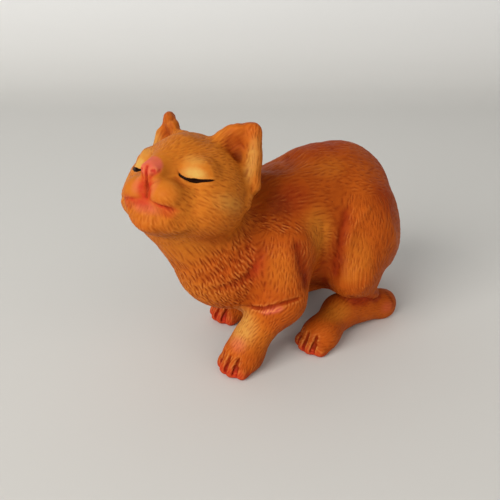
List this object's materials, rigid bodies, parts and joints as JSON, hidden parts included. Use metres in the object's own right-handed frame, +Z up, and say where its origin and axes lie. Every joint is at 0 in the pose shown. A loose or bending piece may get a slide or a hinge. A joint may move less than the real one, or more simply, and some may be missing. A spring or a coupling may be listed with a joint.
{
  "type": "cat figurine",
  "caption": "Small cast-resin kitten ornament standing low with its back arched, head raised, eyes closed and tail curled round one hind foot.",
  "frame": {"origin": "on the ground, under the middle of the figurine's bounding box", "axes": "+Z up; the kitten faces -Y; +X is its left side"},
  "size_m": [0.0516, 0.0924, 0.0629],
  "materials": {
    "body_paint": "cast polyresin, airbrushed ginger with rust in the creases, satin",
    "head_paint": "cast polyresin, airbrushed fawn with pink nose and lips and dark eye lines, satin",
    "foreleg_paint": "cast polyresin, airbrushed fawn with red-pink toes, satin",
    "hind_foot_paint": "cast polyresin, airbrushed rust, satin",
    "tail_paint": "cast polyresin, airbrushed rust and ginger, satin",
    "steel_pin": "cut steel wire"
  },
  "bodies": {
    "root": {"body_casting": "body_paint", "head_casting": "head_paint", "left_foreleg_casting": "foreleg_paint", "left_foreleg_pin": "steel_pin", "right_foreleg_casting": "foreleg_paint", "right_foreleg_pin": "steel_pin", "left_hind_foot_casting": "hind_foot_paint", "left_hind_foot_pin": "steel_pin", "right_hind_foot_casting": "hind_foot_paint", "right_hind_foot_pin": "steel_pin", "tail_casting": "tail_paint", "tail_pin": "steel_pin"}
  },
  "joints": []
}
